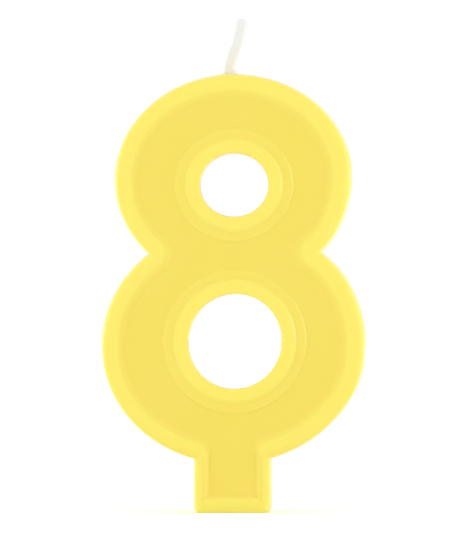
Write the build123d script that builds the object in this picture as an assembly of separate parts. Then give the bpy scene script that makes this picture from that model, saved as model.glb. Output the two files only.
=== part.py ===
from build123d import *
import math
import os

# Number birthday candle, the figure 8. Millimetres, +Z up, front face towards -Y.
# Origin: middle of the stem's flat foot. Front and back are alike, because the wax is cast in
# a mould of two equal halves that part at the plane y = 0.

# ---------------------------------------------------------------- driving dimensions
# Outline, measured at the parting plane
stem_width = 13.4
stem_drop = 8.2                  # foot of the stem to the lowest point of the lower oval
stem_corner_radius = 1.0         # the foot's two lower corners
lower_half_width = 22.65
lower_half_height = 20.55
upper_half_width = 20.3
upper_half_height = 18.1
oval_overlap = 10.5              # how far the upper oval reaches down into the lower one
body_thickness = 12.0

# Counters, the figure's two open holes, measured at the parting plane
lower_counter_half_width = 8.05
lower_counter_half_height = 8.15
lower_counter_rise = 0.5         # its centre above the lower oval's centre
upper_counter_half_width = 5.9
upper_counter_half_height = 5.5
upper_counter_drop = 0.9         # its centre below the upper oval's centre

# Border and face panel, the same on the front and the back
draft_run = 0.5                  # lean of every side wall from the parting plane to the face
edge_radius = 0.8                # rounded outer edge of the border
border_width = 2.65              # outline to the border's inner edge
counter_border_width = 2.5       # counter to the outer edge of the border round it
shelf_width = 0.75               # shelf between the border and the panel, along the outline
counter_shelf_width = 1.7        # the same shelf round a counter
shelf_depth = 0.4                # shelf below the border's top
panel_depth = 0.7                # face panel below the border's top
wall_run = 0.2                   # slant of each small wall between those levels

# Wick, a braided cotton cord in a coat of priming wax
wick_diameter = 1.8              # over the coat
coat_thickness = 0.25
casting_clearance = 0.03         # between the coat and the wax cast round it
core_clearance = 0.02            # between the cotton core and its coat
wick_rise = 9.4                  # tip above the top of the figure
wick_end_height = 4.5            # lower end above the foot
root_run_radius = 0.45           # run of priming wax beside the root
root_run_height = 1.0            # its top above the figure

# ---------------------------------------------------------------- places worked out from them
lower_centre = stem_drop + lower_half_height
upper_centre = lower_centre + lower_half_height + upper_half_height - oval_overlap
body_top = upper_centre + upper_half_height
lower_counter_centre = lower_centre + lower_counter_rise
upper_counter_centre = upper_centre - upper_counter_drop
waist_height = lower_centre + lower_half_height - oval_overlap / 2
face_level = body_thickness / 2  # distance of each face from the parting plane


# ---------------------------------------------------------------- wax body
def section(level):
    """Drawing plane at a distance in front of the parting plane: local X is +X, local Y is +Z."""
    return Plane(origin=(0, -level, 0), x_dir=(1, 0, 0), z_dir=(0, -1, 0))


def oval_block(levels, height, half_width, half_height, growths):
    """Solid between two ovals round one centre, each grown from the given size by its amount."""
    ovals = [
        section(level) * Pos(0, height) * Ellipse(half_width + growth, half_height + growth)
        for level, growth in zip(levels, growths)
    ]
    return loft(ovals, ruled=True)


def stem_block(levels, insets, foot_insets):
    """Stem between two levels, from the foot up into the lower oval, pulled in at its sides and foot."""
    ends = [
        section(level)
        * Pos(0, (lower_centre + foot_inset) / 2)
        * Rectangle(stem_width - 2 * inset, lower_centre - foot_inset)
        for level, inset, foot_inset in zip(levels, insets, foot_insets)
    ]
    return loft(ends, ruled=True)


def counter_blocks(levels, growths):
    """The lower and the upper counter between two levels, as solids to cut away."""
    return [
        oval_block(
            levels, lower_counter_centre, lower_counter_half_width, lower_counter_half_height, growths
        ),
        oval_block(
            levels, upper_counter_centre, upper_counter_half_width, upper_counter_half_height, growths
        ),
    ]


def rounded_counters():
    """The two counters with a mouth that rounds the border's edge, shaped by a die round each."""
    levels = (0, face_level)
    holes = counter_blocks(levels, (0, draft_run))
    blanks = counter_blocks(levels, (counter_border_width, counter_border_width))
    cutters = []
    for hole, blank in zip(holes, blanks):
        die = blank - hole
        die = fillet(face_edges(die).sort_by(SortBy.LENGTH)[0], edge_radius)
        cutters.append(blank - die)
    return cutters


def outline_blocks(levels, insets, foot_insets):
    """Lower oval, upper oval and stem between two levels, each pulled in by the given amounts."""
    shrinks = [-inset for inset in insets]
    return [
        oval_block(levels, lower_centre, lower_half_width, lower_half_height, shrinks),
        oval_block(levels, upper_centre, upper_half_width, upper_half_height, shrinks),
        stem_block(levels, insets, foot_insets),
    ]


def face_edges(block):
    """Edges round the front face of a block."""
    return block.faces().sort_by(Axis.Y)[0].edges()


def recess(floor_depth, edge, counter_edge):
    """Cutter for one level of the face: its walls slant in towards the floor."""
    levels = (face_level - floor_depth, face_level)
    insets = (edge + wall_run, edge)
    lower, upper, stem = outline_blocks(levels, insets, insets)
    return lower + upper + stem - counter_blocks(levels, (counter_edge + wall_run, counter_edge))


def half_body():
    """Front half of the casting, from the parting plane to the border's top."""
    levels = (0, face_level)
    lower, upper, stem = outline_blocks(levels, (0, draft_run), (0, 0))
    foot_corners = stem.faces().sort_by(Axis.Z)[0].edges().filter_by(
        lambda edge: abs(edge.center().X) > stem_width / 4
    )
    stem = fillet(foot_corners, stem_corner_radius)
    lower, upper, stem = [fillet(face_edges(block), edge_radius) for block in (lower, upper, stem)]
    half = lower + upper + stem - rounded_counters()
    half -= recess(shelf_depth, border_width, counter_border_width)
    half -= recess(panel_depth, border_width + shelf_width, counter_border_width + counter_shelf_width)
    return half


def wax_body():
    """Whole casting with the tunnel that the wick fills."""
    front = half_body()
    casting = front + mirror(front, about=Plane.XZ)
    return casting - wick_tube(wick_diameter / 2 + casting_clearance)


# ---------------------------------------------------------------- wick
def round_oval(height, half_width, half_height, side, turns):
    """Points beside a counter, at angles from its top, midway between the counter and the outline."""
    return [
        (side * half_width * math.sin(math.radians(turn)), height + half_height * math.cos(math.radians(turn)))
        for turn in turns
    ]


def wick_route():
    """Wick from the tip down: out of the top, right of the upper counter, across the waist, left of
    the lower counter and down into the stem."""
    exposed = [
        (1.42, body_top + wick_rise),
        (0.95, body_top + 6.1),
        (-0.45, body_top + 2.1),
    ]
    entry = [(-0.95, body_top - 3.0), (0.6, body_top - 7.0), (4.4, body_top - 9.8)]
    upper_side = round_oval(
        (upper_centre + upper_counter_centre) / 2,
        (upper_half_width + upper_counter_half_width) / 2,
        (upper_half_height + upper_counter_half_height) / 2,
        1, (60, 90, 120, 150),
    )
    lower_side = round_oval(
        (lower_centre + lower_counter_centre) / 2,
        (lower_half_width + lower_counter_half_width) / 2,
        (lower_half_height + lower_counter_half_height) / 2,
        -1, (30, 60, 90, 120, 150),
    )
    waist = [(0, waist_height - 0.6)]
    stem = [(-0.6, stem_drop + 3.3), (0, wick_end_height)]
    points = exposed + entry + upper_side + waist + lower_side + stem
    return [Vector(x, 0, z) for x, z in points]


def bend_radii(points):
    """Largest fair radius at each inner point: 0.45 of its shorter run over tan(half the turn)."""
    radii = []
    for before, here, after in zip(points, points[1:], points[2:]):
        run_in = here - before
        run_out = after - here
        half_turn = math.radians(run_in.get_angle(run_out)) / 2
        radii.append(0.45 * min(run_in.length, run_out.length) / math.tan(half_turn))
    return radii


def wick_tube(radius):
    """Round tube along the whole route."""
    points = wick_route()
    path = FilletPolyline(*points, radius=bend_radii(points))
    start = Plane(origin=path @ 0, z_dir=path % 0)
    return sweep(start * Circle(radius), path=path)


def wick_wax_coat():
    """Sleeve of priming wax, with the short run that hardened beside its root."""
    outer = wick_tube(wick_diameter / 2)
    root_centre = wick_route()[2].X + wick_diameter / 2
    run_foot = body_top + casting_clearance
    run = Pos(root_centre, 0, run_foot) * Cylinder(
        root_run_radius, root_run_height, align=(Align.CENTER, Align.CENTER, Align.MIN)
    )
    run = fillet(run.edges().sort_by(Axis.Z)[-1], root_run_radius * 0.9)
    return outer + run - wick_tube(wick_diameter / 2 - coat_thickness)


def wick_core():
    """Braided cotton cord, drawn as its plain outer shape."""
    return wick_tube(wick_diameter / 2 - coat_thickness - core_clearance)


# ---------------------------------------------------------------- output
def main():
    os.makedirs("parts", exist_ok=True)
    pieces = {"wax_body": wax_body, "wick_wax_coat": wick_wax_coat, "wick_core": wick_core}
    for name, make in pieces.items():
        piece = make()
        export_step(piece, f"parts/{name}.step")
        print(name, "solids", len(piece.solids()), "volume", round(piece.volume, 2))
    points = wick_route()
    path = FilletPolyline(*points, radius=bend_radii(points))
    print("wick length", round(path.length, 2), "bend radii", [round(r, 1) for r in bend_radii(points)])


main()
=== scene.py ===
import math

import bmesh
import bpy
import numpy as np
from bpy.props import FloatProperty, FloatVectorProperty, PointerProperty
from bpy.types import Operator, Panel, PropertyGroup
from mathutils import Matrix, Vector
from mathutils.geometry import delaunay_2d_cdt


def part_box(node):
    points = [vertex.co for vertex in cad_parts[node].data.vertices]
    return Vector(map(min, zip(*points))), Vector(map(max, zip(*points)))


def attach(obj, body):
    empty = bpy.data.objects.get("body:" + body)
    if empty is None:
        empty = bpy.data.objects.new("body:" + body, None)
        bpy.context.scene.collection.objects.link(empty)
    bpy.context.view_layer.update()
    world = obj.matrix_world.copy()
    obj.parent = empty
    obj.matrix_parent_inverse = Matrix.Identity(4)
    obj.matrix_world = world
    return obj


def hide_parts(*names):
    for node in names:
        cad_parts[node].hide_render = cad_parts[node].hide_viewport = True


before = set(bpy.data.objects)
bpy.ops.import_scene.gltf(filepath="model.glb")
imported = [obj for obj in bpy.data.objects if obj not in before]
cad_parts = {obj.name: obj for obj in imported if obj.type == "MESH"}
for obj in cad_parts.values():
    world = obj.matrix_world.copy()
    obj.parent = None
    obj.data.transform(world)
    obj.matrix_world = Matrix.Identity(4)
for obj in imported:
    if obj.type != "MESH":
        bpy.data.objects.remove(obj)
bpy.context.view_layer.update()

bl_info = {
    "name": "Figure Eight Candle",
    "version": (1, 0, 0),
    "blender": (4, 5, 0),
    "location": "3D View > Sidebar > Candle",
    "description": "Builds a moulded number candle, its wick and a studio round them",
    "category": "Object",
}

BODY_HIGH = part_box("wax_body")[1]
WICK_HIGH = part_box("wick_wax_coat")[1]
MM = 0.001
NO_FACES = np.empty((0, 3), int)

# Fineness of the meshes, and the angles above which their edges stay sharp
WELD = 0.5e-6
BODY_SHARP_DEGREES = 50.0
SHARP_DEGREES = 60.0
ARC_STEPS = 6
WALL_STEPS = 10
OVAL_SAMPLES = 2000
FOOT_STATIONS = 8
CORNER_STATIONS = 12
SIDE_STATIONS = 9
FLANK_STATIONS = 110
STEM_FAN = 10
WAIST_FAN = 16
LOWER_STATIONS = 160
UPPER_STATIONS = 128
RING_POINTS = 48
SHOWN_STATIONS = 110
HIDDEN_STATIONS = 170
SHOWN_REACH = 1.2
ROUTE_RESOLUTION = 24
FLOOR_RINGS = 24
FLOOR_POINTS = 96
FILL_TOLERANCE = 1e-5

# Small bends and lengths of the casting's cross-section
SEAM_HALF_WIDTH = 0.12 * MM
PANEL_REACH = 0.9 * MM
STEP_RADIUS = 0.3 * MM
RING_RADIUS = 0.8 * MM
SHELF_FOOT_RADIUS = 0.3 * MM
SHELF_EDGE_RADIUS = 0.08 * MM
PANEL_EDGE_RADIUS = 0.2 * MM

# Shares: the cove's bend of its width, the border's painted glow on the shelf, how far that painted
# glow goes on the cove and past the ring, and the height up to which the stem's profile holds
COVE_BEND = 0.3
SHELF_PAINTED_GLOW = 0.3
COVE_PAINTED_GLOW = 0.8
RING_PAINTED_GLOW = 0.2
STEM_REACH = 1.1

# The right flank's unevenness, in degrees round its oval: where it starts, is full and ends
SHOULDER = (15, 45)
BELLY = (-45, -20, -16, -2)
FLAT = (-35, -15, 0, 14)
CHIN = (-42, -16)

# The wick's route: points across and above the middle of the casting's top, turns
# round the counters in degrees, and the last offsets in the waist and the stem
EXPOSED_ROUTE = np.array([(1.42, 9.4), (0.95, 6.1), (-0.7, 2.1)]) * MM
ENTRY_ROUTE = np.array([(-1.3, -3.0), (0.6, -7.0), (4.4, -9.8)]) * MM
UPPER_TURNS = (60, 90, 120, 150)
WAIST_DROP = 0.6 * MM
LOWER_TURNS = (30, 60, 90, 120, 150)
STEM_SHIFT = 0.6 * MM
STEM_RISE = 3.3 * MM

# Wax that crept up the wick (its spread is a share of the wick's thickness), the run of wax beside
# it (its spread is an angle) and the wick's cut end
COLLAR_HEIGHT = 0.25 * MM
COLLAR_SHIFT = 0.4 * MM
COLLAR_BAND = 1.5 * MM
COLLAR_SPREAD = 0.75
RUN_ROOT = 1.2 * MM
RUN_SPREAD = 0.75
RUN_FADE = 0.5
RIM_SHARE = 0.06
RIM_LENGTH = 0.15 * MM
CORE_GAP = 0.02 * MM
STRANDS = 4
TIP_RINGS = 10
TIP_DOME = 0.05 * MM
STRAND_RELIEF = 0.2 * MM

# Finishes: shares of a second colour, ranges of roughness and the fibres' stretch along the wick
GRAIN_SHARE = 0.12
PIT_RARITY = 0.93
CLOUD_SHARE = 0.12
PIT_SHADE_SHARE = 0.12
PRIMING_CLOUD_SHARE = 0.3
ROOT_LIFT_BELOW = 0.5 * MM
ROOT_LIFT_ABOVE = 4.5 * MM
WAX_ROUGHNESS = (0.30, 0.38)
PRIMING_ROUGHNESS = (0.62, 0.78)
COTTON_ROUGHNESS = (0.75, 0.95)
FIBRE_SCALE = (9000.0, 9000.0, 1500.0)

# Studio: lengths in metres, and each lamp's name, turn from the front and power
FLOOR_COLOUR = (0.9, 0.9, 0.9, 1.0)
NEAR_LIFT = 0.24
FAR_LIFT = 0.6
LIFT_START = 0.1
LIFT_END = 0.6
WORLD_LIGHT = 0.905
LAMP_DISTANCE = 0.45
LAMP_HEIGHT = 0.06
LAMP_WIDTH = 0.09
LAMP_TALL = 0.3
LAMPS = (
    ("left lamp", math.radians(-72), 0.4),
    ("right lamp", math.radians(60), 0.42),
    ("rear left lamp", math.radians(-120), 0.25),
    ("rear right lamp", math.radians(108), 0.2),
)
SENSOR = 36.0


# ------------------------------------------------------------------ properties
def length(name, description, millimetres):
    """Length property whose default is given in millimetres."""
    return FloatProperty(
        name=name, description=description, default=millimetres * MM, subtype="DISTANCE",
        unit="LENGTH", precision=5, min=0.0
    )


def offset(name, description, millimetres):
    """Length property that may be negative."""
    return FloatProperty(
        name=name, description=description, default=millimetres * MM, subtype="DISTANCE",
        unit="LENGTH", precision=5
    )


def colour(name, description, red, green, blue):
    """Colour property whose default is given as 8-bit display values."""
    return FloatVectorProperty(
        name=name, description=description, default=display_colour(red, green, blue),
        subtype="COLOR", size=3, min=0.0, max=1.0
    )


def display_colour(red, green, blue):
    """Linear colour of an 8-bit display colour, by the standard display curve."""
    value = np.array([red, green, blue]) / 255.0
    linear = np.where(value <= 0.04045, value / 12.92, ((value + 0.055) / 1.055) ** 2.4)
    return tuple(float(part) for part in linear)


class CandleFigure(PropertyGroup):
    """Sizes of the casting in front view, equal or close to those of the part in the frame."""

    stem_width: length("Stem width", "Width of the straight stem", 13.4)
    stem_drop: length("Stem drop", "Foot of the stem to the lowest point of the lower oval", 8.2)
    stem_corner: length("Stem corner", "Radius of the foot's two lower corners", 1.0)
    lower_half_width: length("Lower half width", "Half the width of the lower oval", 22.65)
    lower_half_height: length("Lower half height", "Half the height of the lower oval", 20.55)
    upper_half_width: length("Upper half width", "Half the width of the upper oval", 20.4)
    upper_half_height: length("Upper half height", "Half the height of the upper oval", 18.1)
    lower_counter_half_width: length("Lower counter half width", "Half the width of the lower hole", 7.93)
    lower_counter_half_height: length("Lower counter half height", "Half the height of the lower hole", 8.07)
    lower_counter_rise: length("Lower counter rise", "Lower hole's centre above its oval's", 0.5)
    upper_counter_half_width: length("Upper counter half width", "Half the width of the upper hole", 5.79)
    upper_counter_half_height: length("Upper counter half height", "Half the height of the upper hole", 5.37)
    upper_counter_drop: length("Upper counter drop", "Upper hole's centre below its oval's", 0.94)
    stem_shift: offset("Stem shift", "Stem's middle right of the figure's", -0.17)
    lower_counter_shift: offset("Lower counter shift", "Lower hole right of the figure's middle", 0.26)
    upper_counter_shift: offset("Upper counter shift", "Upper hole right of the figure's middle", 0.12)
    lower_tilt: FloatProperty(
        name="Lower tilt", description="Sideways lean of the lower oval for each unit of height",
        default=0.017, precision=4
    )
    upper_tilt: FloatProperty(
        name="Upper tilt", description="Sideways lean of the upper oval for each unit of height",
        default=0.009, precision=4
    )
    shoulder: length("Shoulder", "How full the lower oval's right side is below the waist", 0.3)
    belly: length("Belly", "How full the lower oval's right side is below its middle", 0.19)
    flat: length("Flat", "How flat the upper oval's right side is at its middle", 0.13)
    chin: length("Chin", "How full the upper oval's right side is above the waist", 0.27)


class CandleRelief(PropertyGroup):
    """Cross-section of the border, the rings round the counters and the face panel."""

    draft_run: length("Draft", "Lean of the outer wall from the parting plane to the face", 0.3)
    edge_radius: length("Edge radius", "Rounded outer edge of the border", 0.9)
    crown_drop: length("Crown drop", "How far the border's outer part falls away", 0.36)
    stem_crown_drop: length("Stem crown drop", "How far the border falls away along the stem's sides", 0.34)
    foot_radius: length("Foot radius", "Rounded edge under the stem", 0.12)
    foot_crown_drop: length("Foot crown drop", "Fall of the border towards the foot", 0.06)
    crown_width: length("Crown width", "Outline to where the border becomes flat", 1.5)
    crown_radius: length("Crown radius", "Bend between the border's flat and its outer part", 2.0)
    border_width: length("Border", "Outline to the border's inner edge", 2.65)
    stem_border: length("Stem border", "Stem's side to its border's inner edge", 1.8)
    foot_border: length("Foot border", "Foot to its border's inner edge", 2.05)
    right_extra: length("Right extra", "Extra width of the border on the figure's right", 0.42)
    step_run: length("Step run", "Slant of the small step beside the border", 0.45)
    cove_width: length("Cove", "Hollow slope from the border's step out to the panel", 1.1)
    stem_cove: length("Stem cove", "Slope from the stem's border down to its panel", 0.45)
    step_depth: length("Step depth", "Small step at the border's inner edge", 0.2)
    shelf_depth: length("Shelf depth", "Shelf round a counter's ring below the border's top", 0.33)
    panel_depth: length("Panel depth", "Face panel below the border's top", 0.5)
    panel_corner: length("Panel corner", "Rounding of the panel's edge at the waist and the stem", 3.0)
    seam_height: length("Seam", "Height of the faint ridge where the mould parts", 0.04)
    counter_draft: length("Counter draft", "Lean of a counter's wall to the face", 0.12)
    counter_edge_radius: length("Counter edge radius", "Rounded edge of a counter", 0.3)
    ring_width: length("Ring", "Counter to the outer edge of its ring's flat top", 2.05)
    ring_slope: length("Ring slope", "Soft slope from the ring's top to the shelf", 0.55)
    shelf_width: length("Shelf", "Shelf between a ring's slope and the panel", 1.5)
    shelf_run: length("Shelf run", "Slant of the small step from the shelf to the panel", 0.28)


class CandleWick(PropertyGroup):
    """Sizes of the primed wick."""

    diameter: length("Diameter", "Wick over its coat of wax", 1.8)
    coat: length("Coat", "Thickness of the priming wax", 0.25)
    plait_depth: length("Plait depth", "Relief of the braid under its wax", 0.03)
    plait_pitch: length("Plait pitch", "Length of one turn of a strand", 3.2)
    end_height: length("End height", "Lower end of the wick above the foot", 4.5)
    run_reach: length("Run reach", "How far the run of wax beside the root stands out", 0.5)
    run_height: length("Run height", "Top of that run above the casting", 1.4)


class CandleFinish(PropertyGroup):
    """Colours of the wax and the cotton."""

    face: colour("Face wax", "Colour of the yellow wax on the panel", 248, 225, 86)
    # Painted glow: the border's lighter yellow stands for light coming through the wax and catching the
    # border.
    border: colour("Border wax", "Yellow wax on the border, where light comes through", 255, 235, 100)
    clouded: colour("Clouded wax", "Yellow wax where it is cloudy", 255, 240, 170)
    # Painted shade: darker yellow painted into the pits.
    shaded_pits: colour("Pitted wax", "Yellow wax in its pits", 214, 176, 40)
    priming: colour("Priming wax", "White wax on the wick", 239, 241, 240)
    # Painted light: a touch lighter at the root, offsetting the yellow light the casting throws on the wick.
    root: colour("Root wax", "White wax at the wick's root", 241, 241, 241)
    clouded_priming: colour("Clouded priming", "White wax where it is cloudy", 252, 252, 250)
    cotton: colour("Cotton", "Braided cotton inside the wick", 238, 236, 228)
    shaded_cotton: colour("Shaded cotton", "Cotton between its fibres", 206, 200, 184)


class CandleStage(PropertyGroup):
    """Floor, and the camera's place and view."""

    floor_radius: length("Floor radius", "Radius of the floor under the candle", 3000.0)
    distance: length("Camera distance", "Camera to the middle of the candle", 1400.0)
    view_height: length("View height", "Height of the picture at the candle", 92.68)
    azimuth: FloatProperty(
        name="Azimuth", description="Turn of the camera round to the right of the front",
        default=math.radians(0.9), subtype="ANGLE", unit="ROTATION"
    )
    aim_side: offset("Aim sideways", "Middle of the picture from the candle's middle plane", -1.07)
    aim_height: length("Aim height", "Middle of the picture above the foot", 41.36)


# ------------------------------------------------------------------ mesh helpers
def grid_quads(rows, columns, closed_rows, closed_columns):
    """Quads of a grid of points whose column number runs fastest. A closed direction joins its last
    line of points to its first."""
    row, column = np.meshgrid(
        np.arange(rows if closed_rows else rows - 1),
        np.arange(columns if closed_columns else columns - 1),
        indexing="ij",
    )
    next_row = (row + 1) % rows
    next_column = (column + 1) % columns
    corners = (
        row * columns + column,
        next_row * columns + column,
        next_row * columns + next_column,
        row * columns + next_column,
    )
    return np.stack(corners, axis=-1).reshape(-1, 4)


def make_piece(name, points, quads, triangles, masks, sharp_degrees):
    """Smooth mesh object from whole arrays, with doubles merged and its faces turned outwards."""
    mesh = bpy.data.meshes.new(name)
    faces = quads.tolist() + triangles.tolist()
    mesh.from_pydata(points.tolist(), [], faces)
    for title, values in masks.items():
        layer = mesh.attributes.new(title, "FLOAT", "POINT")
        layer.data.foreach_set("value", np.asarray(values, np.float32))
    work = bmesh.new()
    work.from_mesh(mesh)
    bmesh.ops.remove_doubles(work, verts=work.verts, dist=WELD)
    bmesh.ops.dissolve_degenerate(work, edges=work.edges, dist=WELD)
    bmesh.ops.recalc_face_normals(work, faces=work.faces)
    work.to_mesh(mesh)
    work.free()
    mesh.shade_smooth()
    mesh.set_sharp_from_angle(angle=math.radians(sharp_degrees))
    piece = bpy.data.objects.new(name, mesh)
    bpy.context.scene.collection.objects.link(piece)
    return piece


def smooth_step(value, low, high):
    """0 below low, 1 above high and a smooth cubic between them."""
    share = np.clip((value - low) / (high - low), 0.0, 1.0)
    return share * share * (3.0 - 2.0 * share)


def hump(angles, low, first, last, high):
    """1 between the first and the last angle and 0 outside the low and the high one, with a smooth
    step up and a smooth step down."""
    return smooth_step(angles, low, first) * (1.0 - smooth_step(angles, last, high))


def rounded_line(corners, radii):
    """Open line through corner points with each inner corner replaced by a tangent arc: the arc's
    ends lie radius times the tangent of half the turn before and after the corner."""
    corners = np.asarray(corners, float)
    line = [corners[:1]]
    for before, here, after, radius in zip(corners, corners[1:], corners[2:], radii):
        into = (here - before) / np.linalg.norm(here - before)
        out = (after - here) / np.linalg.norm(after - here)
        turn = math.atan2(into[0] * out[1] - into[1] * out[0], into @ out)
        side = math.copysign(1.0, turn)
        start = here - into * radius * math.tan(abs(turn) / 2)
        centre = start + side * radius * np.array([-into[1], into[0]])
        angles = np.linspace(0.0, turn, ARC_STEPS)
        spoke = start - centre
        arc = np.stack([
            centre[0] + spoke[0] * np.cos(angles) - spoke[1] * np.sin(angles),
            centre[1] + spoke[0] * np.sin(angles) + spoke[1] * np.cos(angles),
        ], axis=-1)
        line.append(arc)
    line.append(corners[-1:])
    return np.concatenate(line)


# ------------------------------------------------------------------ wax body
class Outline:
    """Stations along a closed loop. Each has a foot point, the normal into the wax, and, where the
    loop turns sharply into the wax, the bisector along which that corner's offsets move."""

    def __init__(self):
        self.points = []
        self.normals = []
        self.bisectors = []

    def add(self, points, normals, bisectors=None):
        """Append stations, which lie off any corner unless their bisectors are given."""
        points = np.atleast_2d(points)
        normals = np.atleast_2d(normals)
        self.points.append(points)
        self.normals.append(normals)
        self.bisectors.append(np.zeros_like(points) if bisectors is None else bisectors)

    def add_fan(self, corner, first, last, count):
        """Fan of normals from one side's to the next side's, all at the corner itself."""
        first_angle = math.atan2(first[1], first[0])
        turn = (math.atan2(last[1], last[0]) - first_angle + math.pi) % (2 * math.pi) - math.pi
        angles = first_angle + turn * np.linspace(0.0, 1.0, count + 2)[1:-1]
        normals = np.stack([np.cos(angles), np.sin(angles)], axis=-1)
        middle = first_angle + turn / 2
        bisector = np.array([math.cos(middle), math.sin(middle)]) / math.cos(turn / 2)
        self.add(np.tile(corner, (count, 1)), normals, np.tile(bisector, (count, 1)))

    def arrays(self):
        """Foot points, normals and bisectors, each as one array."""
        return np.concatenate(self.points), np.concatenate(self.normals), np.concatenate(self.bisectors)


def oval_points(centre, half_width, half_height, angles, tilt):
    """Points of an upright oval round (0, centre) and its outward normals at the given angles. The
    oval leans: each point is moved sideways by the tilt times its height above the centre, and the
    width is reduced so that the oval is no wider than before."""
    width = math.sqrt(half_width ** 2 - (tilt * half_height) ** 2)
    rise = half_height * np.sin(angles)
    points = np.stack([width * np.cos(angles) + tilt * rise, centre + rise], axis=-1)
    normals = np.stack(
        [np.cos(angles) / width, np.sin(angles) / half_height - tilt * np.cos(angles) / width], axis=-1
    )
    return points, normals / np.linalg.norm(normals, axis=1, keepdims=True)


def hole_angles(count):
    """Angles of a counter's stations, clockwise, so that the wax lies on the same hand as along the
    outline."""
    return -np.linspace(0.0, 2 * math.pi, count, endpoint=False)


class Figure:
    """The figure's centres and corners, worked out from its sizes and the frame's height."""

    def __init__(self, sizes):
        self.sizes = sizes
        self.lower_centre = sizes.stem_drop + sizes.lower_half_height
        self.upper_centre = BODY_HIGH.z - sizes.upper_half_height
        self.lower_counter = self.lower_centre + sizes.lower_counter_rise
        self.upper_counter = self.upper_centre - sizes.upper_counter_drop
        self.half_stem = sizes.stem_width / 2
        self.stem_top = self.lower_centre - sizes.lower_half_height * math.sqrt(
            1 - (self.half_stem / sizes.lower_half_width) ** 2
        )

    def lower_oval(self, angles, side):
        """Lower oval, with the casting's unevenness on its right: fuller at the shoulder, from a
        smooth step up to the waist, and at the belly, from a smooth hump. The normals stay those of
        the plain oval."""
        sizes = self.sizes
        points, normals = oval_points(
            self.lower_centre, sizes.lower_half_width, sizes.lower_half_height, angles,
            side * sizes.lower_tilt
        )
        if side > 0:
            points[:, 0] += sizes.shoulder * smooth_step(angles, *np.radians(SHOULDER))
            points[:, 0] += sizes.belly * hump(angles, *np.radians(BELLY))
        return points, normals

    def upper_oval(self, angles, side):
        """Upper oval, with the unevenness on its right: flatter at the middle by a smooth hump, and
        fuller from a smooth step down to the waist."""
        sizes = self.sizes
        points, normals = oval_points(
            self.upper_centre, sizes.upper_half_width, sizes.upper_half_height, angles,
            side * sizes.upper_tilt
        )
        if side > 0:
            points[:, 0] += sizes.chin * (1.0 - smooth_step(angles, *np.radians(CHIN)))
            points[:, 0] -= sizes.flat * hump(angles, *np.radians(FLAT))
        return points, normals

    def waist_angles(self, side):
        """Angles round the lower and the upper oval of the corner where they cross: along both
        flanks the widths at the same heights are compared, and they are equal there."""
        low = np.linspace(0.0, math.pi / 2, OVAL_SAMPLES)
        high = np.linspace(-math.pi / 2, 0.0, OVAL_SAMPLES)
        lower, upper = self.lower_oval(low, side)[0], self.upper_oval(high, side)[0]
        beside = np.interp(lower[:, 1], upper[:, 1], upper[:, 0])
        shared = lower[:, 1] > upper[0, 1]
        gap = (beside - lower[:, 0])[shared]
        low_angle = np.interp(0.0, gap, low[shared])
        height = np.interp(0.0, gap, lower[shared, 1])
        return low_angle, math.asin((height - self.upper_centre) / self.sizes.upper_half_height)

    def half(self, side):
        """Stations of one half from the middle of the foot, anticlockwise, up to the crown, as for
        the right side; a side of -1 gives the left half's mirror image."""
        sizes = self.sizes
        loop = Outline()
        corner = sizes.stem_corner
        reach = self.half_stem + side * sizes.stem_shift
        foot_x = np.linspace(0.0, reach - corner, FOOT_STATIONS, endpoint=False)
        foot = np.stack([foot_x, np.zeros(FOOT_STATIONS)], axis=-1)
        loop.add(foot, np.tile([0.0, 1.0], (FOOT_STATIONS, 1)))
        angles = np.radians(np.linspace(-90.0, 0.0, CORNER_STATIONS))
        spokes = np.stack([np.cos(angles), np.sin(angles)], axis=-1)
        loop.add(np.array([reach - corner, corner]) + corner * spokes, -spokes)
        quarter = self.lower_oval(np.linspace(-math.pi / 2, 0.0, OVAL_SAMPLES), side)[0]
        junction_z = np.interp(reach, quarter[:, 0], quarter[:, 1])
        junction_angle = math.asin((junction_z - self.lower_centre) / sizes.lower_half_height)
        side_z = np.linspace(corner, junction_z, SIDE_STATIONS + 1)[1:]
        straight = np.stack([np.full(SIDE_STATIONS, reach), side_z], axis=-1)
        loop.add(straight, np.tile([-1.0, 0.0], (SIDE_STATIONS, 1)))
        notch_low, notch_high = self.waist_angles(side)
        lower = self.lower_oval(np.linspace(junction_angle, notch_low, FLANK_STATIONS), side)
        upper = self.upper_oval(np.linspace(notch_high, math.pi / 2, FLANK_STATIONS), side)
        loop.add_fan(lower[0][0], (-1.0, 0.0), -lower[1][0], STEM_FAN)
        loop.add(lower[0], -lower[1])
        loop.add_fan(lower[0][-1], -lower[1][-1], -upper[1][0], WAIST_FAN)
        loop.add(upper[0], -upper[1])
        return loop.arrays()

    def outline(self):
        """Closed outline: the right half, then the left one from the crown back to the foot."""
        mirror = np.array([-1.0, 1.0])
        return [
            np.concatenate([right, (left[::-1] * mirror)[1:-1]])
            for right, left in zip(self.half(1), self.half(-1))
        ]

    def lower_hole(self):
        """Closed loop of the lower counter."""
        sizes = self.sizes
        points, normals = oval_points(
            self.lower_counter, sizes.lower_counter_half_width, sizes.lower_counter_half_height,
            hole_angles(LOWER_STATIONS), sizes.lower_tilt
        )
        return points + (sizes.lower_counter_shift, 0.0), normals

    def upper_hole(self):
        """Closed loop of the upper counter."""
        sizes = self.sizes
        points, normals = oval_points(
            self.upper_counter, sizes.upper_counter_half_width, sizes.upper_counter_half_height,
            hole_angles(UPPER_STATIONS), sizes.upper_tilt
        )
        return points + (sizes.upper_counter_shift, 0.0), normals


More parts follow.
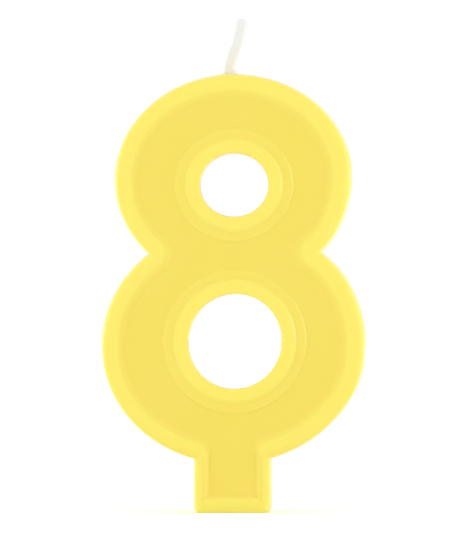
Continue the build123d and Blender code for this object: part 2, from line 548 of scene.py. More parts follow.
def outer_profile(relief, lean, border_width, cove_width, crown_drop, edge_radius):
    """Half cross-section at the outline, from the parting plane to the panel, as offsets from the
    loop and levels above the parting plane: seam ridge, leaning wall, crowned border, a short step
    and a cove that runs out into the panel."""
    face = BODY_HIGH.y
    inner = border_width + relief.step_run
    cove = inner + cove_width
    corners = [
        (0.0, 0.0),
        (min(relief.seam_height, lean), SEAM_HALF_WIDTH),
        (lean, face - crown_drop),
        (relief.crown_width, face),
        (border_width, face),
        (inner, face - relief.step_depth),
        (cove, face - relief.panel_depth),
        (cove + PANEL_REACH, face - relief.panel_depth),
    ]
    radii = [
        relief.seam_height, edge_radius, relief.crown_radius, STEP_RADIUS, COVE_BEND * cove_width,
        cove_width,
    ]
    return subdivide_wall(rounded_line(corners, radii))


def flank_profile(relief):
    """The half cross-section along both ovals."""
    return outer_profile(
        relief, relief.draft_run, relief.border_width, relief.cove_width, relief.crown_drop,
        relief.edge_radius
    )


def counter_profile(relief):
    """Half cross-section at a counter: seam ridge, leaning wall, small round edge, the ring's top,
    its soft outer slope, the wide shelf round it and a small step down to the panel."""
    face = BODY_HIGH.y
    shelf = face - relief.shelf_depth
    slope_end = relief.ring_width + relief.ring_slope
    shelf_end = slope_end + relief.shelf_width
    corners = [
        (0.0, 0.0),
        (relief.seam_height, SEAM_HALF_WIDTH),
        (relief.counter_draft, face),
        (relief.ring_width, face),
        (slope_end, shelf),
        (shelf_end, shelf),
        (shelf_end + relief.shelf_run, face - relief.panel_depth),
        (shelf_end + PANEL_REACH, face - relief.panel_depth),
    ]
    radii = [
        relief.seam_height, relief.counter_edge_radius, RING_RADIUS, SHELF_FOOT_RADIUS,
        SHELF_EDGE_RADIUS, PANEL_EDGE_RADIUS,
    ]
    return subdivide_wall(rounded_line(corners, radii))


def subdivide_wall(line):
    """The line with more points on its wall, between the seam's arc and the edge's."""
    start = ARC_STEPS + 1
    share = np.linspace(0.0, 1.0, WALL_STEPS + 2)[1:-1, None]
    wall = line[start - 1] * (1 - share) + line[start] * share
    return np.concatenate([line[:start], wall, line[start:]])


def painted_glow_mask(offsets, low, high):
    """Painted glow: 1 on a border and 0 on the panel, by the offset from the loop."""
    return 1 - smooth_step(offsets, low, high)


def carry_profile(loop, line):
    """Surface of a profile carried round a loop: each station's point plus its normal times the
    offset, at the profile's level."""
    points, normals = [part[:, None, :] for part in loop]
    flat = points + normals * line[None, :, :1]
    levels = np.broadcast_to(line[None, :, 1], flat.shape[:2])
    return np.stack([flat[..., 0], -levels, flat[..., 1]], axis=-1)


def carry_outline(figure, relief):
    """Surface of three profiles blended round the outline: the flanks', the stem's sides' and the
    foot's, which has no lean. The blend follows the normal, by its height squared along the foot's
    corners and by its sideways part to the fourth power where the stem meets the oval. The flank on
    the right has a wider border. At a sharp corner the offset turns about a point on the corner's
    bisector, so that the panel's edge comes round there. In the stem the offsets stop at the mitre
    of the foot and the sides."""
    points, normals, bisectors = [part[:, None, :] for part in figure.outline()]
    flank = flank_profile(relief)
    stem_side = outer_profile(
        relief, relief.draft_run, relief.stem_border, relief.stem_cove, relief.stem_crown_drop,
        relief.edge_radius
    )
    foot = outer_profile(
        relief, 0.0, relief.foot_border, relief.stem_cove, relief.foot_crown_drop, relief.foot_radius
    )
    at_corner = np.any(bisectors != 0.0, axis=2)
    near_foot = points[..., 1] <= figure.sizes.stem_corner
    in_stem = np.abs(normals[..., 0]) ** 4 * (points[..., 1] < figure.stem_top * STEM_REACH)
    foot_share = np.where(near_foot, normals[..., 1] ** 2, 0.0)
    stem_share = np.where(near_foot, 1.0, in_stem)
    shaped = flank * (1 - stem_share[..., None]) + stem_side * stem_share[..., None]
    shaped = shaped * (1 - foot_share[..., None]) + foot * foot_share[..., None]
    offsets, levels = shaped[..., 0], shaped[..., 1]
    rightward = np.clip(-normals[..., 0], 0.0, 1.0) * (1 - stem_share)
    offsets = offsets + relief.right_extra * rightward * smooth_step(
        offsets, relief.crown_width, relief.border_width
    )
    pull = smooth_step(offsets, relief.border_width, relief.border_width + relief.cove_width)
    turning = offsets * (1 - pull) + np.minimum(offsets, relief.panel_corner) * pull
    reach = np.where(at_corner, turning, offsets)
    flat = points + normals * reach[..., None] + bisectors * (offsets - turning)[..., None]
    shift = figure.sizes.stem_shift
    low = points[..., 1] < figure.sizes.stem_drop
    side = figure.half_stem - stem_side[None, :, 0]
    flat_x = np.where(low, np.clip(flat[..., 0], shift - side, shift + side), flat[..., 0])
    flat_z = np.where(low, np.maximum(flat[..., 1], foot[None, :, 0]), flat[..., 1])
    return np.stack([flat_x, -levels, flat_z], axis=-1)


def fill_panel(rings, level):
    """Triangles over the flat panel, inside the first ring, the outline's, and outside the others.
    Those are convex, so a triangle with all its corners on one of them lies in its hole."""
    flat = np.concatenate(rings)
    owner = np.repeat(np.arange(len(rings)), [len(ring) for ring in rings])
    starts = np.cumsum([0] + [len(ring) for ring in rings])
    edges = []
    for start, end in zip(starts, starts[1:]):
        numbers = np.arange(start, end)
        edges += np.stack([numbers, np.roll(numbers, -1)], axis=-1).tolist()
    solved = delaunay_2d_cdt([Vector(point) for point in (flat / MM).tolist()], edges, [], 1, FILL_TOLERANCE)
    corners = np.array([list(point) for point in solved[0]]) * MM
    triangles = np.array(solved[2])
    owners = owner[np.array([sources[0] for sources in solved[3]])][triangles]
    in_hole = (owners[:, 0] > 0) & np.all(owners == owners[:, :1], axis=1)
    placed = np.stack([corners[:, 0], np.full(len(corners), level), corners[:, 1]], axis=-1)
    return placed, triangles[~in_hole]


def wax_body(scene):
    """The casting: profiles carried round the outline and both counters, and two flat panels."""
    relief = scene.candle_relief
    figure = Figure(scene.candle_figure)
    rim = counter_profile(relief)
    # Painted glow: the border, the ring and a share of the shelf and the cove are painted lighter, standing
    # for light that comes through the wax and catches the raised border.
    outer_painted_glow = painted_glow_mask(
        flank_profile(relief)[:, 0], relief.border_width,
        relief.border_width + relief.cove_width * COVE_PAINTED_GLOW
    )
    slope_end = relief.ring_width + relief.ring_slope
    shelf_end = slope_end + relief.shelf_width
    fade = relief.ring_slope * RING_PAINTED_GLOW
    rim_painted_glow = np.maximum(
        painted_glow_mask(rim[:, 0], slope_end - fade, slope_end + fade),
        SHELF_PAINTED_GLOW * painted_glow_mask(rim[:, 0], shelf_end, shelf_end + relief.shelf_run),
    )
    carried = [
        (carry_outline(figure, relief), outer_painted_glow),
        (carry_profile(figure.lower_hole(), rim), rim_painted_glow),
        (carry_profile(figure.upper_hole(), rim), rim_painted_glow),
    ]
    points, quads, triangles, border = [], [], [], []
    count = 0
    for surface, mask in carried:
        mirrored = surface[:, :0:-1] * np.array([1.0, -1.0, 1.0])
        whole = np.concatenate([mirrored, surface], axis=1)
        rows, columns = whole.shape[:2]
        points.append(whole.reshape(-1, 3))
        border.append(np.tile(np.concatenate([mask[:0:-1], mask]), rows))
        quads.append(grid_quads(rows, columns, True, False) + count)
        count += rows * columns
    rings = [surface[:, -1][:, [0, 2]] for surface, mask in carried]
    panel_level = BODY_HIGH.y - relief.panel_depth
    for level in (-panel_level, panel_level):
        placed, faces = fill_panel(rings, level)
        points.append(placed)
        border.append(np.zeros(len(placed)))
        triangles.append(faces + count)
        count += len(placed)
    points = raise_collar(np.concatenate(points), scene)
    # The border attribute carries the painted glow to the wax's colour.
    masks = {"border": np.concatenate(border)}
    return make_piece(
        "candle_wax_body", points, np.concatenate(quads), np.concatenate(triangles), masks,
        BODY_SHARP_DEGREES
    )


def raise_collar(points, scene):
    """Wax that crept up the wick as it set: near the wick's root the top rises by a bell curve of
    the distance from the wick."""
    root = wick_route(scene)[2]
    away = np.hypot(points[:, 0] - (root.x - COLLAR_SHIFT), points[:, 1])
    near_top = points[:, 2] > BODY_HIGH.z - COLLAR_BAND
    lift = COLLAR_HEIGHT * np.exp(-((away / (scene.candle_wick.diameter * COLLAR_SPREAD)) ** 2))
    points[:, 2] += np.where(near_top, lift, 0.0)
    return points


# ------------------------------------------------------------------ wick
def round_oval(height, half_width, half_height, side, turns):
    """Points beside a counter at angles from its top, as the part's own route has them."""
    angles = np.radians(turns)
    return np.stack([side * half_width * np.sin(angles), height + half_height * np.cos(angles)], axis=-1)


def wick_route(scene):
    """The route's points, from the tip down past the right of the upper counter and the left of the
    lower one, each on an oval midway between the counter's and the outline's, to the lower end in
    the stem."""
    sizes = scene.candle_figure
    figure = Figure(sizes)
    exposed = EXPOSED_ROUTE + (0.0, BODY_HIGH.z)
    entry = ENTRY_ROUTE + (0.0, BODY_HIGH.z)
    upper_side = round_oval(
        (figure.upper_centre + figure.upper_counter) / 2,
        (sizes.upper_half_width + sizes.upper_counter_half_width) / 2,
        (sizes.upper_half_height + sizes.upper_counter_half_height) / 2,
        1, UPPER_TURNS,
    )
    overlap_middle = (figure.lower_centre + sizes.lower_half_height
                      + figure.upper_centre - sizes.upper_half_height) / 2
    waist = np.array([(0.0, overlap_middle - WAIST_DROP)])
    lower_side = round_oval(
        (figure.lower_centre + figure.lower_counter) / 2,
        (sizes.lower_half_width + sizes.lower_counter_half_width) / 2,
        (sizes.lower_half_height + sizes.lower_counter_half_height) / 2,
        -1, LOWER_TURNS,
    )
    stem = np.array([(-STEM_SHIFT, sizes.stem_drop + STEM_RISE), (0.0, scene.candle_wick.end_height)])
    flat = np.concatenate([exposed, entry, upper_side, waist, lower_side, stem])
    return [Vector((x, 0.0, z)) for x, z in flat]


def smooth_line(route, resolution):
    """Points read along an order-3 spline whose control points are the route's."""
    data = bpy.data.curves.new("route", "CURVE")
    data.dimensions = "3D"
    spline = data.splines.new("NURBS")
    spline.points.add(len(route) - 1)
    for point, place in zip(spline.points, route):
        point.co = (*place, 1.0)
    spline.order_u = 3
    spline.use_endpoint_u = True
    spline.resolution_u = resolution
    holder = bpy.data.objects.new("route", data)
    bpy.context.scene.collection.objects.link(holder)
    mesh = bpy.data.meshes.new_from_object(holder)
    line = np.empty(len(mesh.vertices) * 3)
    mesh.vertices.foreach_get("co", line)
    bpy.data.objects.remove(holder)
    bpy.data.curves.remove(data)
    bpy.data.meshes.remove(mesh)
    return line.reshape(-1, 3)


def even_line(line, stations):
    """Points at the given distances along a line, with the tangent there."""
    steps = np.linalg.norm(np.diff(line, axis=0), axis=1)
    travelled = np.concatenate([[0.0], np.cumsum(steps)])
    places = np.stack([np.interp(stations, travelled, line[:, axis]) for axis in range(3)], axis=-1)
    tangents = np.gradient(places, stations, axis=0)
    return places, tangents / np.linalg.norm(tangents, axis=1, keepdims=True)


def tube_surface(places, tangents, radii, angles):
    """Tube in the plane y = 0: round each place, the radius times the cosine of the angle across the
    path in that plane and times its sine along +Y."""
    across = np.stack([-tangents[:, 2], np.zeros(len(tangents)), tangents[:, 0]], axis=-1)
    spokes = (
        across[:, None, :] * np.cos(angles)[None, :, None]
        + np.array([0.0, 1.0, 0.0]) * np.sin(angles)[None, :, None]
    )
    return places[:, None, :] + spokes * radii[..., None]


def wick_frame(scene):
    """Stations, places and tangents along the whole wick from its tip: close together where the
    wick shows, further apart in the wax."""
    line = smooth_line(wick_route(scene), ROUTE_RESOLUTION)
    total = np.linalg.norm(np.diff(line, axis=0), axis=1).sum()
    shown = (WICK_HIGH.z - BODY_HIGH.z) * SHOWN_REACH
    stations = np.concatenate([
        np.linspace(0.0, shown, SHOWN_STATIONS), np.linspace(shown, total, HIDDEN_STATIONS)[1:]
    ])
    places, tangents = even_line(line, stations)
    return stations, places, tangents


def plait(stations, angles, wick):
    """Relief of a round braid, 0 in its furrows to 1 on its ridges: two families of crossing
    helices, each a rounded ridge, the higher one on top."""
    turn = 2 * math.pi * stations[:, None] / wick.plait_pitch
    left = np.abs(np.cos(2 * (angles[None, :] + turn)))
    right = np.abs(np.sin(2 * (angles[None, :] - turn)))
    return np.maximum(left, right)


def wick_coat(scene):
    """Sleeve of priming wax: outer wall with the braid showing faintly through it, a soft rim at the
    cut, an inner wall, and the run of wax that hardened against the right of its root, a bell curve
    round the wick that dies away at its height and again just inside the casting."""
    wick = scene.candle_wick
    stations, places, tangents = wick_frame(scene)
    angles = np.linspace(0.0, 2 * math.pi, RING_POINTS, endpoint=False)
    radius = wick.diameter / 2
    outer = radius - wick.plait_depth * (1 - plait(stations, angles, wick))
    outer *= (1 - RIM_SHARE * np.exp(-stations / RIM_LENGTH))[:, None]
    above = places[:, 2] - BODY_HIGH.z
    standing = smooth_step(above, -RUN_ROOT, 0.0) * (
        1 - smooth_step(above, wick.run_height * RUN_FADE, wick.run_height)
    )
    turned = (angles + math.pi) % (2 * math.pi) - math.pi
    outer += wick.run_reach * standing[:, None] * np.exp(-((turned / RUN_SPREAD) ** 2))[None, :]
    outside = tube_surface(places, tangents, outer, angles)
    inside = tube_surface(places, tangents, np.full_like(outer, radius - wick.coat), angles)[::-1]
    points = np.concatenate([outside, inside])
    quads = grid_quads(len(points), RING_POINTS, True, True)
    return make_piece("candle_wick_coat", points.reshape(-1, 3), quads, NO_FACES, {}, SHARP_DEGREES)


def wick_core(scene):
    """Cotton core: a tube that closes at the tip in a domed cut, which falls with the square of the
    share of the radius, with the strands' ends as a cosine round it, and below in a flat end."""
    wick = scene.candle_wick
    stations, places, tangents = wick_frame(scene)
    angles = np.linspace(0.0, 2 * math.pi, RING_POINTS, endpoint=False)
    radius = wick.diameter / 2 - wick.coat - CORE_GAP
    share = np.linspace(0.0, 1.0, TIP_RINGS)[:, None]
    strands = 0.5 + 0.5 * np.cos(STRANDS * angles[None, :])
    sink = share ** 2 * TIP_DOME + share * (1 - share) * STRAND_RELIEF * strands
    rings = radius * share * np.ones((1, RING_POINTS))
    tip = tube_surface(
        np.repeat(places[:1], len(share), axis=0), np.repeat(tangents[:1], len(share), axis=0), rings, angles
    )
    tip += tangents[0] * sink[..., None]
    body = tube_surface(
        places[1:], tangents[1:], np.full((len(stations) - 1, RING_POINTS), radius), angles
    )
    end = tube_surface(places[-1:], tangents[-1:], np.zeros((1, RING_POINTS)), angles)
    points = np.concatenate([tip, body, end])
    quads = grid_quads(len(points), RING_POINTS, False, True)
    return make_piece("candle_wick_core", points.reshape(-1, 3), quads, NO_FACES, {}, SHARP_DEGREES)


# ------------------------------------------------------------------ materials
def place_node(tree, kind, at, **settings):
    """Node of a kind at a place in the tree, with its settings and its input values: a setting
    named after an input goes to that input."""
    node = tree.nodes.new(kind)
    node.location = at
    for title, value in settings.items():
        socket = node.inputs.get(title.replace("_", " ").title())
        if socket is not None:
            socket.default_value = value
        else:
            setattr(node, title, value)
    return node


def wax_surface_group():
    """Surface of cast wax, shared by the candle and the wick's coat. Cloudiness is broad noise,
    grain is fine noise, and pits are the small middles of a cell pattern's few cells whose random
    value is high."""
    title = "cast wax surface"
    group = bpy.data.node_groups.get(title)
    if group:
        return group
    group = bpy.data.node_groups.new(title, "ShaderNodeTree")
    sockets = group.interface
    sockets.new_socket("Cloud Scale", in_out="INPUT", socket_type="NodeSocketFloat").default_value = 70.0
    sockets.new_socket("Grain Scale", in_out="INPUT", socket_type="NodeSocketFloat").default_value = 1500.0
    sockets.new_socket("Pit Scale", in_out="INPUT", socket_type="NodeSocketFloat").default_value = 260.0
    sockets.new_socket("Cloud", in_out="OUTPUT", socket_type="NodeSocketFloat")
    sockets.new_socket("Pits", in_out="OUTPUT", socket_type="NodeSocketFloat")
    sockets.new_socket("Height", in_out="OUTPUT", socket_type="NodeSocketFloat")
    entry = place_node(group, "NodeGroupInput", (-900, 0))
    place = place_node(group, "ShaderNodeTexCoord", (-900, -200))
    cloud = place_node(group, "ShaderNodeTexNoise", (-650, 300), detail=3.0, roughness=0.5)
    grain = place_node(group, "ShaderNodeTexNoise", (-650, 50), detail=4.0, roughness=0.6)
    cells = place_node(group, "ShaderNodeTexVoronoi", (-650, -200), randomness=1.0)
    for node, scale in ((cloud, "Cloud Scale"), (grain, "Grain Scale"), (cells, "Pit Scale")):
        group.links.new(place.outputs["Object"], node.inputs["Vector"])
        group.links.new(entry.outputs[scale], node.inputs["Scale"])
    centre = place_node(group, "ShaderNodeMapRange", (-400, -200), interpolation_type="SMOOTHSTEP")
    centre.inputs["From Min"].default_value = 0.04
    centre.inputs["From Max"].default_value = 0.12
    centre.inputs["To Min"].default_value = 1.0
    centre.inputs["To Max"].default_value = 0.0
    rare = place_node(group, "ShaderNodeMath", (-400, 0), operation="GREATER_THAN")
    rare.inputs[1].default_value = PIT_RARITY
    pick = place_node(group, "ShaderNodeSeparateColor", (-520, -60))
    group.links.new(cells.outputs["Distance"], centre.inputs["Value"])
    group.links.new(cells.outputs["Color"], pick.inputs["Color"])
    group.links.new(pick.outputs["Red"], rare.inputs[0])
    pits = place_node(group, "ShaderNodeMath", (-150, -100), operation="MULTIPLY")
    group.links.new(centre.outputs["Result"], pits.inputs[0])
    group.links.new(rare.outputs["Value"], pits.inputs[1])
    soft = place_node(group, "ShaderNodeMath", (-150, 100), operation="MULTIPLY_ADD")
    soft.inputs[1].default_value = GRAIN_SHARE
    group.links.new(grain.outputs["Fac"], soft.inputs[0])
    group.links.new(cloud.outputs["Fac"], soft.inputs[2])
    height = place_node(group, "ShaderNodeMath", (100, 0), operation="SUBTRACT")
    group.links.new(soft.outputs["Value"], height.inputs[0])
    group.links.new(pits.outputs["Value"], height.inputs[1])
    leave = place_node(group, "NodeGroupOutput", (350, 0))
    group.links.new(cloud.outputs["Fac"], leave.inputs["Cloud"])
    group.links.new(pits.outputs["Value"], leave.inputs["Pits"])
    group.links.new(height.outputs["Value"], leave.inputs["Height"])
    return group


def new_material(title):
    """Empty material with a Principled shader joined to its output."""
    material = bpy.data.materials.new(title)
    material.use_nodes = True
    tree = material.node_tree
    tree.nodes.clear()
    shader = place_node(tree, "ShaderNodeBsdfPrincipled", (300, 0))
    output = place_node(tree, "ShaderNodeOutputMaterial", (600, 0))
    tree.links.new(shader.outputs["BSDF"], output.inputs["Surface"])
    return material, tree, shader


def mix_colours(tree, at, factor, low, high):
    """Colour mix whose factor, and whose two colours, are each a socket or a plain value."""
    mix = place_node(tree, "ShaderNodeMix", at, data_type="RGBA")
    for number, source in ((0, factor), (6, low), (7, high)):
        if isinstance(source, bpy.types.NodeSocket):
            tree.links.new(source, mix.inputs[number])
        else:
            mix.inputs[number].default_value = source if number == 0 else (*source, 1.0)
    return mix.outputs[2]


def remap(tree, at, source, low, high):
    """Value from 0..1 brought to low..high."""
    node = place_node(tree, "ShaderNodeMapRange", at)
    node.inputs["To Min"].default_value = low
    node.inputs["To Max"].default_value = high
    tree.links.new(source, node.inputs["Value"])
    return node.outputs["Result"]


def wax_material(finish):
    """Yellow wax: light enters it and comes out a few millimetres away, it is cloudy in broad soft
    patches, and it has a fine grain and a few pits, which are painted darker as painted shade. The
    border is painted lighter, a painted glow for light coming through the wax."""
    material, tree, shader = new_material("yellow wax")
    surface = place_node(tree, "ShaderNodeGroup", (-700, 0))
    surface.node_tree = wax_surface_group()
    # Painted glow: the border attribute mixes in the border's lighter yellow, standing for light through the
    # wax.
    border = place_node(tree, "ShaderNodeAttribute", (-700, 300))
    border.attribute_name = "border"
    wax = mix_colours(tree, (-400, 300), border.outputs["Fac"], tuple(finish.face), tuple(finish.border))
    cloudy = mix_colours(
        tree, (-150, 250), remap(tree, (-400, 50), surface.outputs["Cloud"], 0.0, CLOUD_SHARE), wax,
        tuple(finish.clouded)
    )
    # Painted shade: the pits are painted darker.
    shaded_pits = mix_colours(
        tree, (50, 200), remap(tree, (-400, -150), surface.outputs["Pits"], 0.0, PIT_SHADE_SHARE), cloudy,
        tuple(finish.shaded_pits)
    )
    tree.links.new(shaded_pits, shader.inputs["Base Color"])
    rough = remap(tree, (0, 0), surface.outputs["Cloud"], *WAX_ROUGHNESS)
    tree.links.new(rough, shader.inputs["Roughness"])
    bump = place_node(tree, "ShaderNodeBump", (50, -250))
    bump.inputs["Strength"].default_value = 0.35
    bump.inputs["Distance"].default_value = 0.06 * MM
    tree.links.new(surface.outputs["Height"], bump.inputs["Height"])
    tree.links.new(bump.outputs["Normal"], shader.inputs["Normal"])
    shader.inputs["Subsurface Weight"].default_value = 0.35
    shader.inputs["Subsurface Radius"].default_value = (1.0, 0.8, 0.3)
    shader.inputs["Subsurface Scale"].default_value = 1.6 * MM
    shader.inputs["IOR"].default_value = 1.44
    shader.inputs["Coat Weight"].default_value = 0.1
    shader.inputs["Coat Roughness"].default_value = 0.18
    return material


def priming_material(finish):
    """White priming wax on the wick, painted a touch lighter at its root: painted light that offsets the
    yellow light the casting throws on it.
    """
    material, tree, shader = new_material("white priming wax")
    surface = place_node(tree, "ShaderNodeGroup", (-700, 0))
    surface.node_tree = wax_surface_group()
    surface.inputs["Cloud Scale"].default_value = 500.0
    surface.inputs["Pit Scale"].default_value = 900.0
    place = place_node(tree, "ShaderNodeTexCoord", (-1100, 300))
    parts = place_node(tree, "ShaderNodeSeparateXYZ", (-900, 300))
    tree.links.new(place.outputs["Object"], parts.inputs["Vector"])
    # Painted light: the root is lifted towards a lighter white near the casting's top, offsetting the yellow
    # light thrown on it.
    low = place_node(tree, "ShaderNodeMapRange", (-700, 300), interpolation_type="SMOOTHSTEP")
    low.inputs["From Min"].default_value = BODY_HIGH.z - ROOT_LIFT_BELOW
    low.inputs["From Max"].default_value = BODY_HIGH.z + ROOT_LIFT_ABOVE
    low.inputs["To Min"].default_value = 1.0
    low.inputs["To Max"].default_value = 0.0
    tree.links.new(parts.outputs["Z"], low.inputs["Value"])
    priming = mix_colours(
        tree, (-400, 300), low.outputs["Result"], tuple(finish.priming), tuple(finish.root)
    )
    cloudy = mix_colours(
        tree, (-150, 250), remap(tree, (-400, 50), surface.outputs["Cloud"], 0.0, PRIMING_CLOUD_SHARE),
        priming, tuple(finish.clouded_priming)
    )
    tree.links.new(cloudy, shader.inputs["Base Color"])
    rough = remap(tree, (0, 0), surface.outputs["Cloud"], *PRIMING_ROUGHNESS)
    tree.links.new(rough, shader.inputs["Roughness"])
    bump = place_node(tree, "ShaderNodeBump", (50, -250))
    bump.inputs["Strength"].default_value = 0.4
    bump.inputs["Distance"].default_value = 0.03 * MM
    tree.links.new(surface.outputs["Height"], bump.inputs["Height"])
    tree.links.new(bump.outputs["Normal"], shader.inputs["Normal"])
    shader.inputs["Subsurface Weight"].default_value = 0.3
    shader.inputs["Subsurface Radius"].default_value = (1.0, 0.95, 0.85)
    shader.inputs["Subsurface Scale"].default_value = 0.5 * MM
    shader.inputs["Specular IOR Level"].default_value = 0.25
    return material


def cotton_material(finish):
    """Cotton: fine fibres along the wick as a stretched noise, rough, with a little fuzz."""
    material, tree, shader = new_material("cotton")
    place = place_node(tree, "ShaderNodeTexCoord", (-900, 0))
    stretch = place_node(tree, "ShaderNodeMapping", (-700, 0))
    stretch.inputs["Scale"].default_value = FIBRE_SCALE
    fibres = place_node(tree, "ShaderNodeTexNoise", (-480, 0), scale=1.0, detail=3.0)
    tree.links.new(place.outputs["Object"], stretch.inputs["Vector"])
    tree.links.new(stretch.outputs["Vector"], fibres.inputs["Vector"])
    shaded = mix_colours(
        tree, (-100, 200), fibres.outputs["Fac"], tuple(finish.shaded_cotton), tuple(finish.cotton)
    )
    tree.links.new(shaded, shader.inputs["Base Color"])
    rough = remap(tree, (-100, 0), fibres.outputs["Fac"], *COTTON_ROUGHNESS)
    tree.links.new(rough, shader.inputs["Roughness"])
    bump = place_node(tree, "ShaderNodeBump", (50, -250))
    bump.inputs["Strength"].default_value = 0.6
    bump.inputs["Distance"].default_value = 0.05 * MM
    tree.links.new(fibres.outputs["Fac"], bump.inputs["Height"])
    tree.links.new(bump.outputs["Normal"], shader.inputs["Normal"])
    shader.inputs["Sheen Weight"].default_value = 0.3
    return material


# ------------------------------------------------------------------ stage
def floor_material():
    """White floor. What a camera or a reflection sees of it is brought up to white, more so far from
    the candle where the lamps don't reach, and the candle's shadow stays on it."""
    material = bpy.data.materials.new("floor")
    material.use_nodes = True
    tree = material.node_tree
    tree.nodes.clear()
    paint = place_node(tree, "ShaderNodeBsdfDiffuse", (0, 100))
    paint.inputs["Color"].default_value = FLOOR_COLOUR
    lift = place_node(tree, "ShaderNodeEmission", (0, -100))
    place = place_node(tree, "ShaderNodeTexCoord", (-1100, -300))
    away = place_node(tree, "ShaderNodeVectorMath", (-900, -300), operation="LENGTH")
    tree.links.new(place.outputs["Object"], away.inputs[0])
    fade = place_node(tree, "ShaderNodeMapRange", (-700, -300), interpolation_type="SMOOTHSTEP")
    fade.inputs["From Min"].default_value = LIFT_START
    fade.inputs["From Max"].default_value = LIFT_END
    fade.inputs["To Min"].default_value = NEAR_LIFT
    fade.inputs["To Max"].default_value = FAR_LIFT
    tree.links.new(away.outputs["Value"], fade.inputs["Value"])
    level = place_node(tree, "ShaderNodeMath", (-150, -100), operation="MULTIPLY")
    tree.links.new(white_seen(tree, (-700, -100)), level.inputs[0])
    tree.links.new(fade.outputs["Result"], level.inputs[1])
    tree.links.new(level.outputs["Value"], lift.inputs["Strength"])
    both = place_node(tree, "ShaderNodeAddShader", (200, 0))
    output = place_node(tree, "ShaderNodeOutputMaterial", (400, 0))
    tree.links.new(paint.outputs["BSDF"], both.inputs[0])
    tree.links.new(lift.outputs["Emission"], both.inputs[1])
    tree.links.new(both.outputs["Shader"], output.inputs["Surface"])
    return material


def floor(scene):
    """Disc under the candle: rings of points whose radius grows as the square of their number."""
    rings = (np.linspace(0.0, 1.0, FLOOR_RINGS) ** 2 * scene.candle_stage.floor_radius)[:, None]
    angles = np.linspace(0.0, 2 * math.pi, FLOOR_POINTS, endpoint=False)[None, :]
    points = np.stack([rings * np.cos(angles), rings * np.sin(angles), 0.0 * rings * angles], axis=-1)
    quads = grid_quads(len(rings), angles.size, False, True)
    piece = make_piece("floor", points.reshape(-1, 3), quads, NO_FACES, {}, SHARP_DEGREES)
    piece.data.materials.append(floor_material())
    return piece


def soft_light(title, place, target, width, height, power):
    """Rectangular soft light turned to face a point."""
    data = bpy.data.lights.new(title, "AREA")
    data.shape = "RECTANGLE"
    data.size = width
    data.size_y = height
    data.energy = power
    lamp = bpy.data.objects.new(title, data)
    lamp.location = place
    lamp.rotation_euler = (Vector(target) - Vector(place)).to_track_quat("-Z", "Y").to_euler()
    bpy.context.scene.collection.objects.link(lamp)
    return lamp


def white_seen(tree, at):
    """1 for a ray from the camera, from a reflection or through something clear, else 0."""
    rays = place_node(tree, "ShaderNodeLightPath", at)
    first = place_node(tree, "ShaderNodeMath", (at[0] + 180, at[1]), operation="MAXIMUM")
    second = place_node(tree, "ShaderNodeMath", (at[0] + 360, at[1]), operation="MAXIMUM")
    tree.links.new(rays.outputs["Is Camera Ray"], first.inputs[0])
    tree.links.new(rays.outputs["Is Glossy Ray"], first.inputs[1])
    tree.links.new(first.outputs["Value"], second.inputs[0])
    tree.links.new(rays.outputs["Is Transmission Ray"], second.inputs[1])
    return second.outputs["Value"]


def white_world(scene):
    """World that lights the candle evenly and is plain white to the camera and to reflections."""
    world = bpy.data.worlds.new("studio")
    world.use_nodes = True
    tree = world.node_tree
    tree.nodes.clear()
    sky = place_node(tree, "ShaderNodeBackground", (150, 0))
    sky.inputs["Color"].default_value = (1.0, 1.0, 1.0, 1.0)
    output = place_node(tree, "ShaderNodeOutputWorld", (400, 0))
    tree.links.new(remap(tree, (-50, 0), white_seen(tree, (-600, 0)), WORLD_LIGHT, 1.0),
                   sky.inputs["Strength"])
    tree.links.new(sky.outputs["Background"], output.inputs["Surface"])
    scene.world = world


def studio_camera(scene):
    """Level camera in front of the candle, turned a little to its right. A picture higher than wide
    takes the lens from its height."""
    stage = scene.candle_stage
    data = bpy.data.cameras.new("camera")
    data.sensor_width = SENSOR
    data.lens = SENSOR * stage.distance / stage.view_height
    camera = bpy.data.objects.new("camera", data)
    back = Vector((math.sin(stage.azimuth), -math.cos(stage.azimuth), 0.0))
    side = Vector((math.cos(stage.azimuth), math.sin(stage.azimuth), 0.0))
    aim = side * stage.aim_side + Vector((0.0, 0.0, stage.aim_height))
    camera.location = aim + back * stage.distance
    camera.rotation_euler = (-back).to_track_quat("-Z", "Y").to_euler()
    bpy.context.scene.collection.objects.link(camera)
    scene.camera = camera


# ------------------------------------------------------------------ operators
class CandleWaxBody(Operator):
    """Make the moulded wax figure with its raised border, shelf and face panel"""

    bl_idname = "candle.wax_body"
    bl_label = "Wax Body"
    bl_options = {"REGISTER", "UNDO"}

    def execute(self, context):
        piece = wax_body(context.scene)
        piece.data.materials.append(wax_material(context.scene.candle_finish))
        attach(piece, "root")
        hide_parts("wax_body")
        return {"FINISHED"}


class CandleWickCoat(Operator):
    """Make the white priming wax round the wick"""

    bl_idname = "candle.wick_coat"
    bl_label = "Wick Coat"
    bl_options = {"REGISTER", "UNDO"}

    def execute(self, context):
        piece = wick_coat(context.scene)
        piece.data.materials.append(priming_material(context.scene.candle_finish))
        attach(piece, "root")
        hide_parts("wick_wax_coat")
        return {"FINISHED"}


class CandleWickCore(Operator):
    """Make the cotton core of the wick"""

    bl_idname = "candle.wick_core"
    bl_label = "Wick Core"
    bl_options = {"REGISTER", "UNDO"}

    def execute(self, context):
        piece = wick_core(context.scene)
        piece.data.materials.append(cotton_material(context.scene.candle_finish))
        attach(piece, "root")
        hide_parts("wick_core")
        return {"FINISHED"}


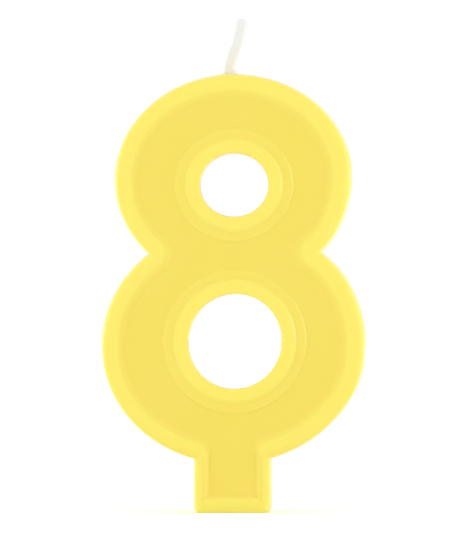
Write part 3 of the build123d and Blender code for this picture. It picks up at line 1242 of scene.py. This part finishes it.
class CandleStudio(Operator):
    """Make the floor, the soft lights, the white world and the camera"""

    bl_idname = "candle.studio"
    bl_label = "Studio"
    bl_options = {"REGISTER", "UNDO"}

    def execute(self, context):
        scene = context.scene
        floor(scene)
        middle = (0.0, 0.0, BODY_HIGH.z / 2)
        for title, turn, power in LAMPS:
            place = (math.sin(turn) * LAMP_DISTANCE, -math.cos(turn) * LAMP_DISTANCE, LAMP_HEIGHT)
            soft_light(title, place, middle, LAMP_WIDTH, LAMP_TALL, power)
        white_world(scene)
        studio_camera(scene)
        scene.view_settings.view_transform = "Standard"
        return {"FINISHED"}


class CandlePanel(Panel):
    """Sizes, colours and steps of the candle"""

    bl_idname = "VIEW3D_PT_candle"
    bl_label = "Figure Eight Candle"
    bl_space_type = "VIEW_3D"
    bl_region_type = "UI"
    bl_category = "Candle"

    def draw(self, context):
        for title, group, operators in PANEL_ROWS:
            box = self.layout.box()
            box.label(text=title)
            values = getattr(context.scene, group)
            for name in values.__annotations__:
                box.prop(values, name)
            for operator in operators:
                box.operator(operator.bl_idname)


PANEL_ROWS = (
    ("Figure", "candle_figure", ()),
    ("Relief", "candle_relief", (CandleWaxBody,)),
    ("Wick", "candle_wick", (CandleWickCoat, CandleWickCore)),
    ("Finish", "candle_finish", ()),
    ("Stage", "candle_stage", (CandleStudio,)),
)
GROUPS = {
    "candle_figure": CandleFigure,
    "candle_relief": CandleRelief,
    "candle_wick": CandleWick,
    "candle_finish": CandleFinish,
    "candle_stage": CandleStage,
}
CLASSES = (
    *GROUPS.values(), CandleWaxBody, CandleWickCoat, CandleWickCore, CandleStudio, CandlePanel,
)


def register():
    for part in CLASSES:
        bpy.utils.register_class(part)
    for name, group in GROUPS.items():
        setattr(bpy.types.Scene, name, PointerProperty(type=group))


def unregister():
    for name in GROUPS:
        delattr(bpy.types.Scene, name)
    for part in reversed(CLASSES):
        bpy.utils.unregister_class(part)


def main():
    """Register the classes, then build every piece and the stage."""
    register()
    bpy.ops.candle.wax_body()
    bpy.ops.candle.wick_coat()
    bpy.ops.candle.wick_core()
    bpy.ops.candle.studio()


if __name__ == "__main__":
    main()
